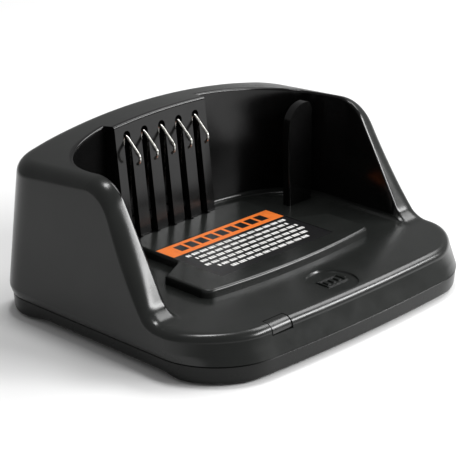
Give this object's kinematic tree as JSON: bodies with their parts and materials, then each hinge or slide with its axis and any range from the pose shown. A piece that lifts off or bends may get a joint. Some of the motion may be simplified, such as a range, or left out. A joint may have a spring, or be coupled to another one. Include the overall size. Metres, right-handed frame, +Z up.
{
  "type": "two-way radio charging cradle",
  "caption": "Desktop drop-in charging cradle for a hand-held two-way radio: open-front tray with sprung wire contacts behind a slotted wall.",
  "frame": {"origin": "centre of the footprint on the surface it stands on", "axes": "+X to the right seen from the front; the low shelf faces -Y; +Z up"},
  "size_m": [0.1272, 0.1014, 0.0558],
  "materials": {
    "black_plastic": "satin moulded",
    "base_plastic": "satin moulded",
    "foot_rubber": "matte",
    "plated_wire": "bright plated",
    "carrier_plastic": "matte",
    "board_laminate": "lacquered",
    "screw_steel": "zinc plated",
    "clear_plastic": "smoked clear",
    "chip_black": "matte",
    "can_aluminium": "bright",
    "ferrite_grey": "matte",
    "fuse_ceramic": "matte",
    "lamp_white": "gloss",
    "label_face": "printed film",
    "label_silver": "blank foil"
  },
  "bodies": {
    "cradle": {"upper_housing": "black_plastic", "lower_housing": "base_plastic", "contact_carrier": "carrier_plastic", "contact_retainer": "carrier_plastic", "circuit_board": "board_laminate", "dc_jack": "chip_black", "light_pipe": "clear_plastic", "controller_chip": "chip_black", "power_transistor": "chip_black", "power_inductor": "ferrite_grey", "rectifier_diode": "chip_black", "board_fuse": "fuse_ceramic", "indicator_led": "lamp_white", "capacitor_1": "can_aluminium", "capacitor_2": "can_aluminium", "care_label": "label_face", "rating_label": "label_silver", "foot_pad_1": "foot_rubber", "housing_screw_1": "screw_steel", "board_screw_1": "screw_steel", "foot_pad_2": "foot_rubber", "housing_screw_2": "screw_steel", "board_screw_2": "screw_steel", "foot_pad_3": "foot_rubber", "housing_screw_3": "screw_steel", "board_screw_3": "screw_steel", "foot_pad_4": "foot_rubber", "housing_screw_4": "screw_steel", "board_screw_4": "screw_steel", "retainer_screw_1": "screw_steel", "retainer_screw_2": "screw_steel"},
    "spring_1": {"contact_spring_1": "plated_wire"},
    "spring_2": {"contact_spring_2": "plated_wire"},
    "spring_3": {"contact_spring_3": "plated_wire"},
    "spring_4": {"contact_spring_4": "plated_wire"},
    "spring_5": {"contact_spring_5": "plated_wire"}
  },
  "joints": [
    {"name": "spring_1_bend", "type": "hinge", "parent": "cradle", "child": "spring_1", "pos_m": [-0.0214, 0.0326, 0.011], "axis": [-1, 0, 0], "range_deg": [0, 5], "stiffness_Nm_per_rad": 0.39},
    {"name": "spring_2_bend", "type": "hinge", "parent": "cradle", "child": "spring_2", "pos_m": [-0.01378, 0.0326, 0.011], "axis": [-1, 0, 0], "range_deg": [0, 5], "stiffness_Nm_per_rad": 0.39},
    {"name": "spring_3_bend", "type": "hinge", "parent": "cradle", "child": "spring_3", "pos_m": [-0.00616, 0.0326, 0.011], "axis": [-1, 0, 0], "range_deg": [0, 5], "stiffness_Nm_per_rad": 0.39},
    {"name": "spring_4_bend", "type": "hinge", "parent": "cradle", "child": "spring_4", "pos_m": [0.00146, 0.0326, 0.011], "axis": [-1, 0, 0], "range_deg": [0, 5], "stiffness_Nm_per_rad": 0.39},
    {"name": "spring_5_bend", "type": "hinge", "parent": "cradle", "child": "spring_5", "pos_m": [0.00908, 0.0326, 0.011], "axis": [-1, 0, 0], "range_deg": [0, 5], "stiffness_Nm_per_rad": 0.39}
  ]
}
